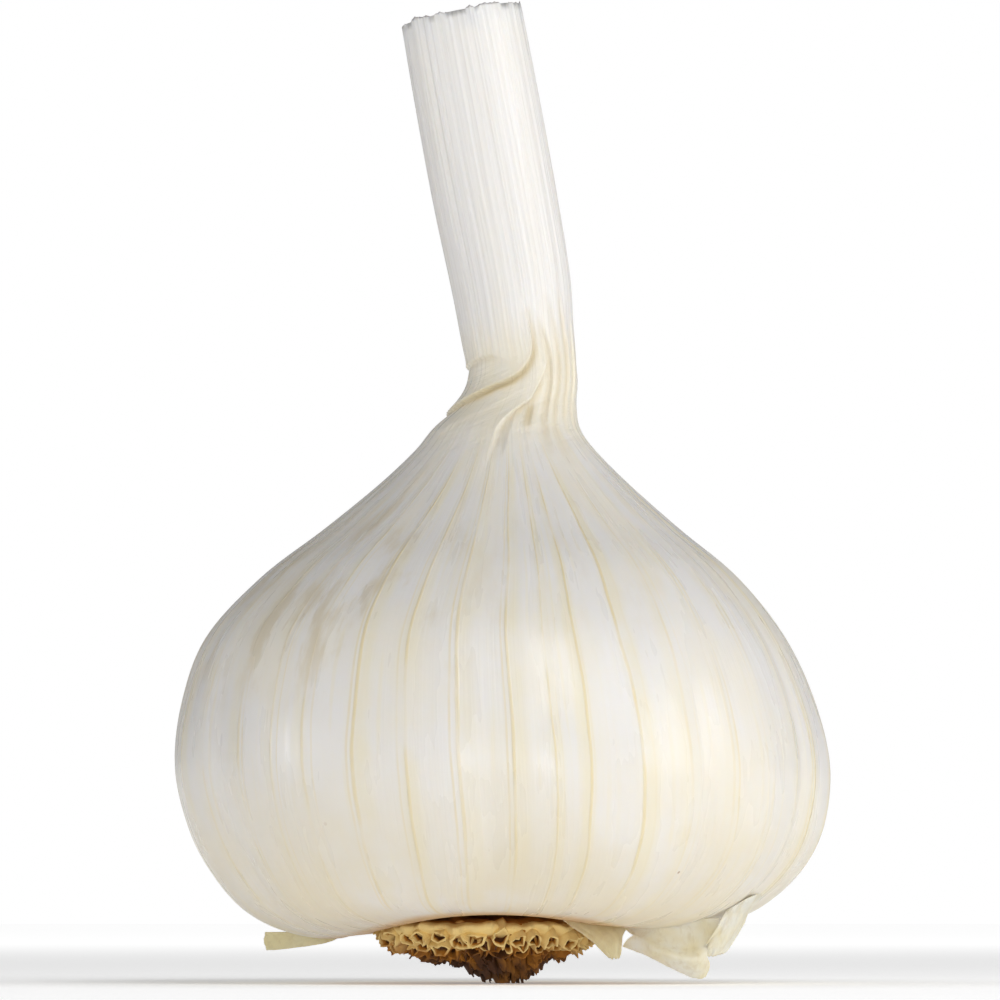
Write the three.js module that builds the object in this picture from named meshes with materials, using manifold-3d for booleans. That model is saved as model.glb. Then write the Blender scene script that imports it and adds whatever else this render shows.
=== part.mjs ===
// A whole garlic bulb with its cut neck, standing on its trimmed roots.
// Millimetres, +Z up. The front of the bulb faces -Y, and +X is to the right seen from there.
// The origin is on the axis of the bulb, in the small flat spot that the roots were trimmed to.
// Heights in the tables are above standHeight, and all pieces are raised by it at the end.
import * as THREE from "three";
import { mergeVertices } from "three/addons/utils/BufferGeometryUtils.js";
import Module from "manifold-3d";

const wasm = await Module();
wasm.setup();

// Driving dimensions
const veinCount = 40; // raised veins round the bulb, which run on as pleats up the neck
const veinHeight = 0.16;
const pleatHeight = 0.1;
const cloveCount = 9;
const cloveSwell = 0.9; // how far the cloves push the lower skin out between their seams
const neckDepth = 0.9; // the neck's front to back size as a share of its width
const neckFoot = 50; // height where the shoulder turns into the neck
const standHeight = 0.7; // how far the trimmed root ends reach below the zero of the tables
const plateCentre = -1.2; // the root plate sits a little to the left of the axis
const plateRadius = 10.1;
const skinGap = 0.3; // between pieces that touch
const sheetThickness = 0.65;
const tuft = { x: 0.3, radius: 2.8, count: 14 }; // the longest roots, which the bulb stands on

// The skin from the hollow underneath, round the belly and up the neck to the cut:
// [height, half width, shift of the middle to the right, lean to the left in degrees]
const skinRings = [
  [6.4, 4.8, -1.2, 0],
  [5.8, 8.6, -1.1, 0],
  [4.6, 11.4, -0.6, 0],
  [3.3, 14.9, -0.1, 0],
  [3.9, 19.5, 0.1, 0],
  [5.9, 23.5, 0.2, 0],
  [9.3, 26.8, 0.5, 0],
  [13.5, 29.0, 0.5, 0],
  [19.0, 30.0, 0.2, 0],
  [25.0, 29.1, -0.15, 0],
  [31.0, 26.65, -0.4, 0],
  [36.5, 22.0, -0.05, 0],
  [41.0, 16.4, 0.2, 0],
  [45.0, 11.7, 0.4, 0],
  [48.2, 8.4, 0.5, 0],
  [50.3, 6.8, 0.6, 0],
  [52.4, 5.6, 1.4, 1],
  [54.4, 5.1, 2.0, 3],
  [56.4, 5.0, 2.05, 6],
  [59.1, 5.2, 1.65, 9],
  [64.0, 5.5, 1.0, 10],
  [72.0, 5.7, -0.5, 10],
  [81.2, 5.7, -2.2, 10],
  [88.6, 5.6, -3.55, 11],
];
const ringsPerSpan = 2;
const ringsPerFoldedSpan = 4;
const foldedFrom = 48;
const foldedTo = 62;

// The cut end of the neck, where the sheaths end one inside the other:
// [share of the neck's radius, height above the cut]
const cutRings = [
  [0.9, 0.1],
  [0.84, -1.2],
  [0.72, -1.3],
  [0.67, -0.1],
  [0.55, -0.2],
  [0.48, -1.5],
  [0.34, -1.4],
  [0.26, -0.3],
];

// The underside arches up between the cloves. Each row of skinRings, from the first, takes this share of it.
const archShares = [0, 0.15, 0.55, 1, 0.8, 0.38, 0.1, 0];
const arches = [
  { height: 2.4, middle: -93, spread: 44 },
  { height: 0.9, middle: -10, spread: 45 },
  { height: 1.6, middle: 90, spread: 50 },
];

// Creases of the folded sheaths at the foot of the neck. Each runs over the front:
// [degrees to the right of the front, height]
const creases = [
  {
    path: [
      [-140, 50.8],
      [-80, 51.8],
      [-45, 52.7],
      [-24, 53.5],
      [-8, 54.6],
      [6, 56.0],
      [24, 59.0],
    ],
    lip: 0.45,
    drop: 0.4,
  },
  {
    path: [
      [-16, 49.0],
      [2, 50.6],
      [20, 52.6],
      [29, 54.7],
      [40, 57.0],
    ],
    lip: 0.3,
    drop: 0.35,
  },
];
const creaseWidth = 1.5; // from the bottom of the hollow to the top of the lip
const lipFade = 2.2;
const hollowFade = 1.3;

const degrees = THREE.MathUtils.degToRad;
const smooth = THREE.MathUtils.smoothstep;

function between(a, b, share) {
  return a + (b - a) * share;
}

// A smooth hill of height 1 at the middle
function hill(value, middle, spread) {
  return Math.exp(-(((value - middle) / spread) ** 2));
}

// The same hill for an angle in degrees, which comes round again at 360
function hillRound(angle, middle, spread) {
  const away = ((((angle - middle) % 360) + 540) % 360) - 180;
  return hill(away, 0, spread);
}

// A repeatable draw from 0 to 1
function draw(number) {
  const wave = Math.sin(number * 12.9898) * 43758.5453;
  return wave - Math.floor(wave);
}

// A value on the smooth line through the rows of a table, at a row number that may be a fraction
function throughRows(rows, place, column) {
  const last = rows.length - 1;
  const start = Math.min(Math.floor(place), last - 1);
  const share = place - start;
  const valueAt = (row) => {
    if (row < 0) return 2 * rows[0][column] - rows[1][column];
    if (row > last) return 2 * rows[last][column] - rows[last - 1][column];
    return rows[row][column];
  };
  const before = valueAt(start - 1);
  const from = valueAt(start);
  const to = valueAt(start + 1);
  const after = valueAt(start + 2);
  const slopeFrom = (to - before) / 2;
  const slopeTo = (after - from) / 2;
  const square = share * share;
  const cube = square * share;
  return (
    from * (2 * cube - 3 * square + 1) +
    slopeFrom * (cube - 2 * square + share) +
    to * (3 * square - 2 * cube) +
    slopeTo * (cube - square)
  );
}

// The number of the row where the first column reaches a value
function rowOf(rows, value) {
  const next = rows.findIndex((row) => row[0] > value);
  if (next < 0) return rows.length - 1;
  if (next === 0) return 0;
  return next - 1 + (value - rows[next - 1][0]) / (rows[next][0] - rows[next - 1][0]);
}

// Cloves push the lower skin out, with a narrow seam between each two
function cloveShape(angle, height, halfWidth) {
  const uneven = angle + 0.12 * Math.sin(2 * angle + 1) + 0.08 * Math.sin(3 * angle + 2.2);
  const roundness = Math.abs(Math.cos((cloveCount / 2) * uneven)) ** 0.7 - 0.6;
  return roundness * cloveSwell * hill(height, 8, 17) * smooth(halfWidth, 10, 17);
}

// Raised veins on the bulb, which gather into pleats on the neck
function veinShape(angle, halfWidth) {
  const onBulb = veinHeight * smooth(halfWidth, 8, 14);
  const onNeck = pleatHeight * (1 - smooth(halfWidth, 5.5, 9));
  return (onBulb + onNeck) * Math.cos(veinCount * angle);
}

// Each crease has a rolled lip above it and a hollow below it
function creaseShape(angle, height) {
  const fromFront = (((THREE.MathUtils.radToDeg(angle) + 90 + 540) % 360) + 360) % 360 - 180;
  let total = 0;
  for (const { path, lip, drop } of creases) {
    const first = path[0][0];
    const last = path[path.length - 1][0];
    if (fromFront <= first || fromFront >= last) continue;
    const strength = Math.sin((Math.PI * (fromFront - first)) / (last - first)) ** 0.6;
    const above = height - throughRows(path, rowOf(path, fromFront), 1);
    const side = smooth(above, -creaseWidth / 2, creaseWidth / 2);
    const rolled = lip * Math.exp(-Math.max(0, above - creaseWidth / 2) / lipFade);
    const sunk = drop * Math.exp(Math.min(0, above + creaseWidth / 2) / hollowFade);
    total += strength * (side * rolled - (1 - side) * sunk);
  }
  return total;
}

// How far the underside is raised at a place of the skin
function archLift(angle, place) {
  const from = Math.min(Math.floor(place), archShares.length - 1);
  const to = Math.min(from + 1, archShares.length - 1);
  const share = between(archShares[from], archShares[to], place % 1);
  const turned = THREE.MathUtils.radToDeg(angle);
  return arches.reduce(
    (total, { height, middle, spread }) => total + share * height * hillRound(turned, middle, spread),
    0,
  );
}

// A point of the skin: angle round the axis, and place among the rows of skinRings
function skinPoint(angle, place) {
  const height = throughRows(skinRings, place, 0);
  const halfWidth = throughRows(skinRings, place, 1);
  const shift = throughRows(skinRings, place, 2);
  const lean = degrees(throughRows(skinRings, place, 3));
  const radius =
    halfWidth +
    cloveShape(angle, height, halfWidth) +
    veinShape(angle, halfWidth) +
    creaseShape(angle, height);
  const depth = between(1, neckDepth, smooth(height, neckFoot - 4, neckFoot + 6));
  const across = radius * Math.cos(angle);
  return new THREE.Vector3(
    shift + across * Math.cos(lean),
    radius * depth * Math.sin(angle),
    height + across * Math.sin(lean) + archLift(angle, place),
  );
}

// A point of the ragged cut end: share of the neck's radius, and height above the cut
function cutPoint(angle, share, above) {
  const last = skinRings.length - 1;
  const [height, , shift, leanDegrees] = skinRings[last];
  const lean = degrees(leanDegrees);
  const edge = skinPoint(angle, last);
  const middle = new THREE.Vector3(shift, 0, height);
  const scallops = 0.16 * Math.cos(veinCount * angle);
  const ragged = scallops + 0.2 * Math.sin(5 * angle + 1) + 0.14 * Math.sin(11 * angle + 2);
  const up = new THREE.Vector3(-Math.sin(lean), 0, Math.cos(lean));
  return middle.lerp(edge, share).addScaledVector(up, above + ragged * share);
}

// A sphere whose every vertex is moved to pointAt(angle, band), from the lower pole, band 0, to the upper one
function shapedSphere(sectors, bands, pointAt) {
  const geometry = new THREE.SphereGeometry(1, sectors, bands);
  const uv = geometry.getAttribute("uv");
  const position = geometry.getAttribute("position");
  for (let i = 0; i < position.count; i++) {
    const point = pointAt(uv.getX(i) * 2 * Math.PI, Math.round(uv.getY(i) * bands));
    position.setXYZ(i, point.x, point.y, point.z);
  }
  return geometry;
}

// A thin closed sheet over a net of points, given in rows. Both faces are split into triangles alike.
function sheet(net, along, across, thickness) {
  const columns = net[0].length - 1;
  const rows = net.length - 1;
  const pointAt = (u, v) => {
    const coordinate = [0, 1, 2].map((axis) => {
      const line = net.map((row) => [throughRows(row, u * columns, axis)]);
      return throughRows(line, v * rows, 0);
    });
    return new THREE.Vector3(...coordinate);
  };
  const face = new THREE.PlaneGeometry(1, 1, along, across);
  const uv = face.getAttribute("uv");
  const count = uv.count;
  const points = new Float32Array(count * 6);
  const small = 1e-3;
  for (let i = 0; i < count; i++) {
    const u = uv.getX(i);
    const v = 1 - uv.getY(i);
    const point = pointAt(u, v);
    const alongEdge = pointAt(Math.min(1, u + small), v).sub(pointAt(Math.max(0, u - small), v));
    const acrossEdge = pointAt(u, Math.min(1, v + small)).sub(pointAt(u, Math.max(0, v - small)));
    const normal = alongEdge.cross(acrossEdge).normalize();
    const half = thickness / 2;
    point.clone().addScaledVector(normal, half).toArray(points, i * 3);
    point.clone().addScaledVector(normal, -half).toArray(points, (count + i) * 3);
  }
  const index = [];
  const faces = face.index.array;
  for (let i = 0; i < faces.length; i += 3) {
    index.push(faces[i], faces[i + 2], faces[i + 1]);
    index.push(count + faces[i], count + faces[i + 1], count + faces[i + 2]);
  }
  const wide = along + 1;
  const rim = [];
  for (let i = 0; i < along; i++) rim.push(i);
  for (let j = 0; j < across; j++) rim.push(j * wide + along);
  for (let i = along; i > 0; i--) rim.push(across * wide + i);
  for (let j = across; j > 0; j--) rim.push(j * wide);
  rim.forEach((from, i) => {
    const to = rim[(i + 1) % rim.length];
    index.push(to, from, count + from);
    index.push(to, count + from, count + to);
  });
  const geometry = new THREE.BufferGeometry();
  geometry.setAttribute("position", new THREE.BufferAttribute(points, 3));
  geometry.setIndex(index);
  return geometry;
}

// A closed geometry as a solid that can be joined and cut
function solidOf(geometry) {
  const bare = new THREE.BufferGeometry();
  bare.setAttribute("position", geometry.getAttribute("position"));
  bare.setIndex(geometry.index);
  const merged = mergeVertices(bare, 1e-4);
  return new wasm.Manifold(
    new wasm.Mesh({
      numProp: 3,
      vertProperties: new Float32Array(merged.getAttribute("position").array),
      triVerts: new Uint32Array(merged.index.array),
    }),
  );
}

// A solid back as a geometry
function geometryOf(solid) {
  const mesh = solid.getMesh();
  const geometry = new THREE.BufferGeometry();
  geometry.setAttribute("position", new THREE.BufferAttribute(mesh.vertProperties, 3));
  geometry.setIndex(new THREE.BufferAttribute(mesh.triVerts, 1));
  geometry.computeVertexNormals();
  return geometry;
}

// The geometry with every vertex moved outwards
function grown(geometry, distance) {
  const bare = new THREE.BufferGeometry();
  bare.setAttribute("position", geometry.getAttribute("position").clone());
  bare.setIndex(geometry.index);
  const merged = mergeVertices(bare, 1e-4);
  merged.computeVertexNormals();
  const position = merged.getAttribute("position");
  const normal = merged.getAttribute("normal");
  for (let i = 0; i < position.count; i++) {
    position.setXYZ(
      i,
      position.getX(i) + normal.getX(i) * distance,
      position.getY(i) + normal.getY(i) * distance,
      position.getZ(i) + normal.getZ(i) * distance,
    );
  }
  return merged;
}

// The largest piece of a solid that a cut left in several
function largestPiece(solid) {
  const pieces = solid.decompose();
  return pieces.reduce((best, piece) => (piece.volume() > best.volume() ? piece : best));
}

// The bulb and its neck: closed sheaths, grown as one
function bulbGeometry() {
  const places = [];
  for (let row = 0; row < skinRings.length - 1; row++) {
    const folded = skinRings[row][0] >= foldedFrom && skinRings[row][0] < foldedTo;
    const count = folded ? ringsPerFoldedSpan : ringsPerSpan;
    for (let i = 0; i < count; i++) places.push(row + i / count);
  }
  const rimBand = places.length + 1;
  const bands = rimBand + cutRings.length + 1;
  const hollow = new THREE.Vector3(plateCentre, 0, 6.5);
  return shapedSphere(2 * veinCount, bands, (angle, band) => {
    if (band === 0) return hollow;
    if (band < rimBand) return skinPoint(angle, places[band - 1]);
    if (band === rimBand) return cutPoint(angle, 1, 0);
    if (band === bands) return cutPoint(angle, 0, -0.1);
    return cutPoint(angle, ...cutRings[band - rimBand - 1]);
  });
}

// The disc that the roots grow from: [share of its radius, height], from below
const plateOutline = [
  [0, 2.2],
  [0.3, 2.3],
  [0.55, 2.7],
  [0.78, 3.2],
  [0.94, 3.6],
  [1, 4.0],
  [1.01, 4.4],
  [0.93, 4.7],
  [0.8, 4.9],
  [0.5, 5.6],
  [0, 5.7],
];

function plateGeometry() {
  const bands = plateOutline.length - 1;
  return shapedSphere(44, bands, (angle, band) => {
    const [share, height] = plateOutline[band];
    const broken = 1 + 0.035 * Math.sin(3 * angle + 1) + 0.025 * Math.sin(8 * angle + 2);
    const radius = plateRadius * share * broken;
    return new THREE.Vector3(
      plateCentre + radius * Math.cos(angle),
      radius * Math.sin(angle),
      height,
    );
  });
}

// One cut root, from a point inside the plate to its end
function rootStub(from, to, radius) {
  const length = from.distanceTo(to);
  const stub = new THREE.CylinderGeometry(radius * 1.1, radius * 0.85, length, 5);
  const down = new THREE.Vector3(0, -1, 0);
  stub.applyQuaternion(
    new THREE.Quaternion().setFromUnitVectors(down, to.clone().sub(from).normalize()),
  );
  const middle = from.clone().lerp(to, 0.5);
  stub.translate(middle.x, middle.y, middle.z);
  return solidOf(stub);
}

// Rows of roots on the plate: [share of the plate's radius, how many, height where they end]
const rootRows = [
  [0.9, 25, 3.0],
  [0.74, 21, 2.3],
  [0.57, 16, 1.7],
  [0.4, 11, 1.2],
];

function rootStubs() {
  const stubs = [];
  rootRows.forEach(([share, count, endHeight], row) => {
    for (let i = 0; i < count; i++) {
      const seed = 100 * row + i;
      const angle = ((i + 0.5 * (row % 2) + 0.4 * (draw(seed) - 0.5)) / count) * 2 * Math.PI;
      const radius = plateRadius * share;
      const outward = new THREE.Vector3(Math.cos(angle), Math.sin(angle), 0);
      const from = new THREE.Vector3(plateCentre, 0, 3.9).addScaledVector(outward, radius - 1.1);
      const to = new THREE.Vector3(plateCentre, 0, endHeight + 0.7 * (draw(seed + 7) - 0.5));
      to.addScaledVector(outward, radius + 0.5 * share);
      stubs.push(rootStub(from, to, 0.7 + 0.25 * draw(seed + 13)));
    }
  });
  for (let i = 0; i < tuft.count; i++) {
    const golden = degrees(137.5 * i);
    const spread = tuft.radius * Math.sqrt(i / tuft.count);
    const outward = new THREE.Vector3(Math.cos(golden), 1.5 * Math.sin(golden), 0);
    const from = new THREE.Vector3(tuft.x, 0, 3.2).addScaledVector(outward, spread * 1.2);
    const to = new THREE.Vector3(tuft.x, 0, -standHeight - 0.5).addScaledVector(outward, spread);
    stubs.push(rootStub(from, to, 0.65 + 0.2 * draw(i + 41)));
  }
  return stubs;
}

// Everything below the surface that the bulb stands on, which the roots are trimmed to
function belowGround() {
  const block = new THREE.BoxGeometry(80, 80, 10);
  block.translate(0, 0, -5 - standHeight);
  return solidOf(block);
}

// Loose scraps of the outermost skin round the root plate, as nets of points from the attached edge outwards
const scraps = {
  // torn open at the lower right, hanging to the ground and curled round
  loose_skin_right: {
    net: [
      [[10.6, -6.2, 4.8], [14.5, -7.6, 5.4], [18.5, -8.0, 6.4], [21.0, -8.5, 7.6], [23.0, -6.0, 9.0]],
      [[11.4, -7.4, 3.7], [14.8, -8.6, 3.8], [18.6, -9.4, 4.2], [21.6, -9.4, 5.3], [23.4, -6.6, 6.9]],
      [[12.0, -8.0, 3.0], [15.0, -8.2, 2.0], [18.0, -7.2, 0.9], [19.8, -8.0, 2.6], [22.2, -6.6, 4.6]],
      [[11.2, -6.0, 2.5], [14.5, -4.4, 0.9], [18.1, -2.6, -0.3], [19.2, -4.6, 0.6], [20.6, -5.0, 2.2]],
    ],
    along: 16,
    across: 10,
  },
  // a narrow strip that sticks out at the lower left
  loose_skin_left: {
    net: [
      [[-12.2, 1.4, 3.7], [-15.5, 0.6, 3.3], [-18.5, -0.2, 3.3], [-21.5, -1.0, 3.4]],
      [[-12.4, 2.0, 2.9], [-15.5, 1.4, 2.4], [-18.5, 0.8, 2.3], [-21.6, 0.2, 2.4]],
      [[-12.4, 2.4, 2.4], [-15.5, 2.0, 1.9], [-18.5, 1.6, 1.6], [-21.3, 1.1, 1.6]],
    ],
    along: 10,
    across: 3,
  },
  // a pointed tag in front of the plate
  loose_skin_tag: {
    net: [
      [[5.6, -8.9, 5.2], [7.8, -8.8, 5.0], [10.0, -8.4, 4.8], [12.2, -8.0, 4.7]],
      [[7.4, -9.8, 4.0], [8.8, -9.9, 3.9], [10.4, -9.6, 3.8], [11.8, -9.0, 3.9]],
      [[8.8, -10.1, 2.9], [9.7, -10.3, 2.6], [10.7, -10.2, 2.6], [11.5, -9.7, 2.9]],
      [[10.2, -10.2, 1.7], [10.5, -10.3, 1.4], [10.8, -10.3, 1.4], [11.1, -10.1, 1.8]],
    ],
    along: 6,
    across: 6,
  },
};

function addPiece(group, name, geometry, colour, roughness) {
  geometry.translate(0, 0, standHeight);
  const material = new THREE.MeshStandardMaterial({ color: colour, roughness, metalness: 0 });
  const piece = new THREE.Mesh(geometry, material);
  piece.name = name;
  group.add(piece);
}

const garlic = new THREE.Group();

const skin = bulbGeometry();
const skinSolid = solidOf(skin);
const aroundSkin = solidOf(grown(skin, skinGap));
addPiece(garlic, "bulb_and_neck", geometryOf(skinSolid), 0xe4dfd0, 0.45);

const rootSolid = wasm.Manifold.union([solidOf(plateGeometry()), ...rootStubs()])
  .subtract(belowGround())
  .subtract(aroundSkin);
const rootPlate = geometryOf(largestPiece(rootSolid));
const aroundRoots = solidOf(grown(rootPlate, skinGap));
addPiece(garlic, "root_plate", rootPlate, 0x9a7844, 0.9);

for (const [name, { net, along, across }] of Object.entries(scraps)) {
  const whole = solidOf(sheet(net, along, across, sheetThickness));
  const cut = whole.subtract(aroundSkin).subtract(aroundRoots);
  addPiece(garlic, name, geometryOf(largestPiece(cut)), 0xd8cdae, 0.6);
}

export default garlic;
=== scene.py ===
import math
import random

import bpy
import numpy as np
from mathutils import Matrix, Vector


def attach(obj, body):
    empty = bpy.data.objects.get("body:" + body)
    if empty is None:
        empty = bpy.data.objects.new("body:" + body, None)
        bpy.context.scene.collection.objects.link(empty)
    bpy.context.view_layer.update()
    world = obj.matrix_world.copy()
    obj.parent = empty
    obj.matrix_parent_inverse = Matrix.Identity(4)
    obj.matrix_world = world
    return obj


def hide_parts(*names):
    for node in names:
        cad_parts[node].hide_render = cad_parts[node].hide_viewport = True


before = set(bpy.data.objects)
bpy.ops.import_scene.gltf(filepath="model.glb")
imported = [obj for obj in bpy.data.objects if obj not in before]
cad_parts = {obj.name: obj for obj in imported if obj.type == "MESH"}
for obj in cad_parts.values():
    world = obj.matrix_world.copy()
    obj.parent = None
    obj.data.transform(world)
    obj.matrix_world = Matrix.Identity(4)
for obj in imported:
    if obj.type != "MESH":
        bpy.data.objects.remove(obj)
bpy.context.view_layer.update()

mm = 0.001
standHeight = 0.7  # mm from the ground to the zero of the height tables


# shared shapes, in mm

def smoothStep(value, low, high):
    share = np.clip((value - low) / (high - low), 0, 1)
    return share * share * (3 - 2 * share)


def hill(value, middle, spread):
    return np.exp(-(((value - middle) / spread) ** 2))


def hillRound(angle, middle, spread):  # angles in degrees
    return hill((angle - middle + 540) % 360 - 180, 0, spread)


def throughRows(rows, place, column):  # smooth line through one column of a table
    values = np.array([row[column] for row in rows], dtype=float)
    padded = np.concatenate([[2 * values[0] - values[1]], values, [2 * values[-1] - values[-2]]])
    start = np.clip(np.floor(place).astype(int), 0, len(values) - 2)
    share = place - start
    before, first, second, after = (padded[start + i] for i in range(4))
    slopeFirst = (second - before) / 2
    slopeSecond = (after - first) / 2
    square = share ** 2
    cube = share ** 3
    return (first * (2 * cube - 3 * square + 1) + slopeFirst * (cube - 2 * square + share)
            + second * (3 * square - 2 * cube) + slopeSecond * (cube - square))


def deselectAll():
    for item in bpy.context.selected_objects:
        item.select_set(False)


def finishPiece(piece, name, node, material, smoothAngle=None):
    deselectAll()
    piece.select_set(True)
    bpy.context.view_layer.objects.active = piece
    if smoothAngle is None:
        bpy.ops.object.shade_smooth()
    else:
        bpy.ops.object.shade_smooth_by_angle(angle=math.radians(smoothAngle))
    piece.name = name
    piece.data.name = name
    piece.data.materials.clear()
    piece.data.materials.append(material)
    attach(piece, "root")
    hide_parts(node)


def writeAttribute(mesh, name, values):
    layer = mesh.attributes.new(name, "FLOAT", "POINT")
    layer.data.foreach_set("value", np.asarray(values, dtype=np.float32))


# material helpers

def startMaterial(name):
    material = bpy.data.materials.new(name)
    material.use_nodes = True
    tree = material.node_tree
    tree.nodes.clear()
    output = tree.nodes.new("ShaderNodeOutputMaterial")
    shader = tree.nodes.new("ShaderNodeBsdfPrincipled")
    tree.links.new(shader.outputs[0], output.inputs["Surface"])
    return material, tree, shader


def plug(tree, value, socket):
    if isinstance(value, bpy.types.NodeSocket):
        tree.links.new(value, socket)
    elif isinstance(value, (tuple, list)) and len(value) == 3 and len(socket.default_value) == 4:
        socket.default_value = (*value, 1)
    else:
        socket.default_value = value


def calc(tree, operation, first, second=0.0, third=0.0):
    node = tree.nodes.new("ShaderNodeMath")
    node.operation = operation
    for value, socket in zip((first, second, third), node.inputs):
        plug(tree, value, socket)
    return node.outputs[0]


def remap(tree, value, fromLow, fromHigh, toLow=0.0, toHigh=1.0):
    node = tree.nodes.new("ShaderNodeMapRange")
    node.interpolation_type = "SMOOTHSTEP"
    for item, socket in zip((value, fromLow, fromHigh, toLow, toHigh), node.inputs):
        plug(tree, item, socket)
    return node.outputs[0]


def blendColours(tree, share, first, second, mode="MIX"):
    node = tree.nodes.new("ShaderNodeMix")
    node.data_type = "RGBA"
    node.blend_type = mode
    plug(tree, share, node.inputs["Factor"])
    plug(tree, first, node.inputs[6])
    plug(tree, second, node.inputs[7])
    return node.outputs[2]


def noiseAt(tree, vector, scale, detail=2.0, roughness=0.5):
    node = tree.nodes.new("ShaderNodeTexNoise")
    plug(tree, vector, node.inputs["Vector"])
    node.inputs["Scale"].default_value = scale
    node.inputs["Detail"].default_value = detail
    node.inputs["Roughness"].default_value = roughness
    return node.outputs[0]


def vectorOf(tree, x, y, z):
    node = tree.nodes.new("ShaderNodeCombineXYZ")
    for value, socket in zip((x, y, z), node.inputs):
        plug(tree, value, socket)
    return node.outputs[0]


def bumpOn(tree, height, distance, strength=1.0, normal=None):
    node = tree.nodes.new("ShaderNodeBump")
    node.inputs["Strength"].default_value = strength
    node.inputs["Distance"].default_value = distance
    plug(tree, height, node.inputs["Height"])
    if normal is not None:
        plug(tree, normal, node.inputs["Normal"])
    return node.outputs[0]


def attributeOf(tree, name):
    node = tree.nodes.new("ShaderNodeAttribute")
    node.attribute_name = name
    return node.outputs["Fac"]


def uvOf(tree):
    node = tree.nodes.new("ShaderNodeUVMap")
    node.uv_map = "UVMap"
    parts = tree.nodes.new("ShaderNodeSeparateXYZ")
    tree.links.new(node.outputs[0], parts.inputs[0])
    return parts.outputs[0], parts.outputs[1]


def objectPlace(tree):
    node = tree.nodes.new("ShaderNodeTexCoord")
    parts = tree.nodes.new("ShaderNodeSeparateXYZ")
    tree.links.new(node.outputs["Object"], parts.inputs[0])
    return node.outputs["Object"], parts.outputs


# the bulb's skin, with its neck

# [height, half width, shift to the right, lean to the left in degrees, rings up to the next row]
skinRows = [
    (6.4, 4.8, -1.2, 0, 6),
    (5.8, 8.6, -1.1, 0, 8),
    (4.6, 11.4, -0.6, 0, 10),
    (3.3, 14.9, -0.1, 0, 12),
    (3.9, 19.5, 0.1, 0, 12),
    (5.9, 23.5, 0.2, 0, 12),
    (9.3, 26.8, 0.5, 0, 12),
    (13.5, 29.0, 0.5, 0, 12),
    (19.0, 30.0, 0.2, 0, 12),
    (25.0, 29.1, -0.15, 0, 12),
    (31.0, 26.65, -0.4, 0, 12),
    (36.5, 22.0, -0.05, 0, 12),
    (41.0, 16.4, 0.2, 0, 12),
    (45.0, 11.7, 0.4, 0, 12),
    (48.2, 8.4, 0.5, 0, 12),
    (50.3, 6.8, 0.6, 0, 12),
    (52.4, 5.6, 1.4, 1, 12),
    (54.4, 5.1, 2.0, 3, 12),
    (56.4, 5.0, 2.05, 6, 14),
    (59.1, 5.2, 1.65, 9, 12),
    (64.0, 5.5, 1.0, 10, 10),
    (72.0, 5.7, -0.5, 10, 10),
    (81.2, 5.7, -2.2, 10, 10),
    (88.6, 5.6, -3.55, 11, 0),
]

# the sheaths at the cut, from the outermost: [share of the radius, height above the cut]
cutRows = [
    (0.985, 0.05), (0.955, -0.1), (0.945, -1.2), (0.915, -1.5), (0.9, -0.6),
    (0.875, 0.0), (0.84, -0.1), (0.82, -1.1), (0.79, -1.4), (0.765, -0.5),
    (0.735, 0.1), (0.7, 0.0), (0.68, -1.0), (0.64, -1.3), (0.61, -0.5),
    (0.575, -0.1), (0.54, -0.15), (0.515, -1.2), (0.47, -1.5), (0.44, -0.6),
    (0.41, -0.2), (0.36, -0.25), (0.33, -1.2), (0.28, -1.4), (0.25, -0.6),
    (0.21, -0.3), (0.15, -0.35), (0.1, -1.0), (0.06, -1.1),
]

skin = {
    "columns": 320,
    "veins": 40,
    "veinHeight": 0.035,
    "stripSag": 0.02,
    "cloves": 9,
    "cloveSwell": 0.9,
    "pleatDepth": 0.03,
    "neckDepth": 0.9,
    "neckFoot": 50,
    "archShares": (0, 0.15, 0.55, 1, 0.8, 0.38, 0.1, 0),
    "arches": ((2.4, -93, 44), (0.9, -10, 45), (1.6, 90, 50)),  # height, angle, spread
    "seed": 11,
}

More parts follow.
